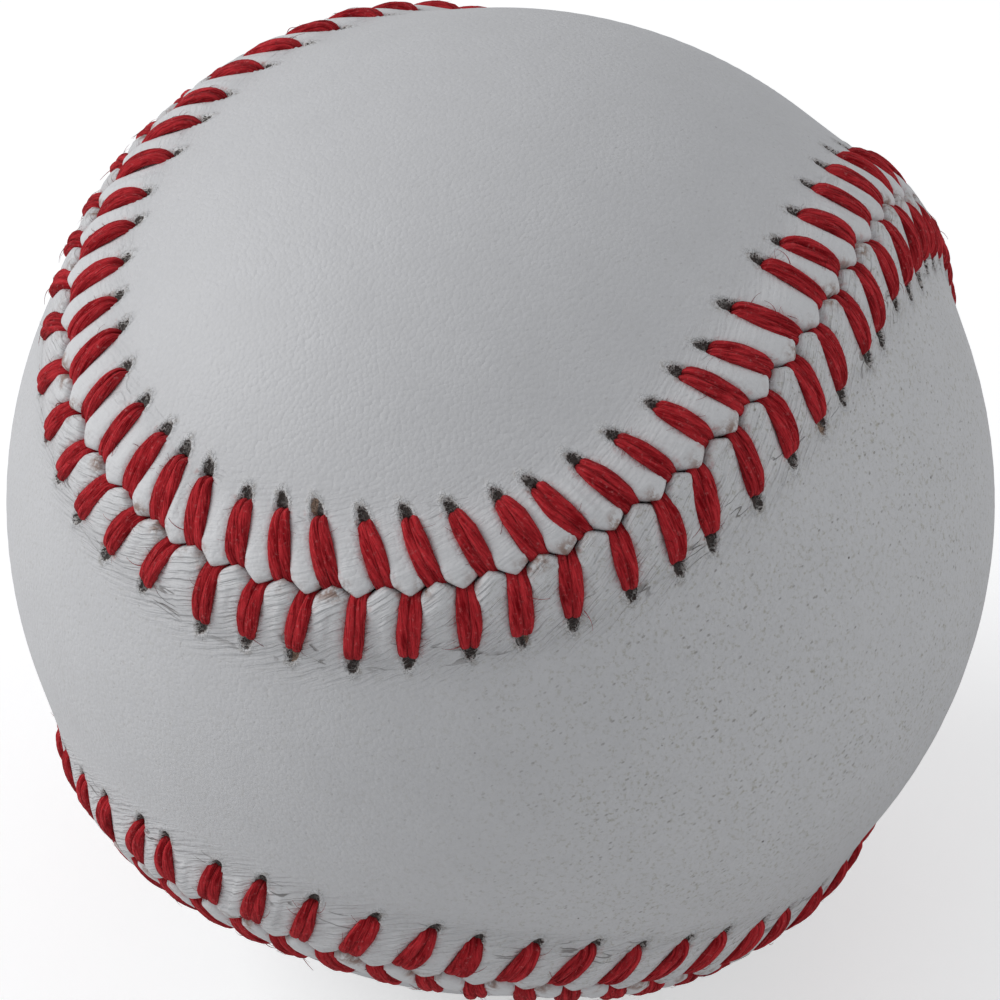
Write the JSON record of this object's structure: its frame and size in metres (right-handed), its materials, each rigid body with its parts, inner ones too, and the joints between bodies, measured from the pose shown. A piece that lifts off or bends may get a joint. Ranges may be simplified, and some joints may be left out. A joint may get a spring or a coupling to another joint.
{
  "type": "baseball",
  "caption": "Hand-sewn baseball: cushioned cork centre, wound yarn layers, and a white two-panel leather cover with raised red stitching.",
  "frame": {"origin": "centre of the ball", "axes": "+Z through the middle of one broad end of the top-and-bottom panel, +X through the middle of one broad end of the sides panel, +Y through the waist of the top-and-bottom panel; the seam repeats when the ball is turned 180 degrees about Y"},
  "size_m": [0.073, 0.073, 0.073],
  "materials": {
    "leather": "matt tawed cowhide, off-white, fine grain",
    "red_thread": "waxed red cotton thread, doubled",
    "cement": "dried rubber cement, dull",
    "white_yarn": "fine cotton finishing yarn, wound crosswise",
    "grey_wool": "plied grey wool yarn, wound crosswise",
    "white_wool": "plied white wool yarn, wound crosswise",
    "red_rubber": "moulded red rubber, matt",
    "black_rubber": "moulded black rubber, matt",
    "cork": "ground cork and rubber composition"
  },
  "bodies": {
    "root": {"cork_core": "cork", "black_rubber_shell_upper": "black_rubber", "black_rubber_shell_lower": "black_rubber", "rubber_gasket": "red_rubber", "red_rubber_layer": "red_rubber", "wool_winding_first": "grey_wool", "wool_winding_second": "white_wool", "wool_winding_third": "grey_wool", "finishing_yarn": "white_yarn", "cement_coat": "cement", "cover_panel_top_bottom": "leather", "cover_panel_sides": "leather", "stitches_top_bottom": "red_thread", "stitches_sides": "red_thread"}
  },
  "joints": []
}
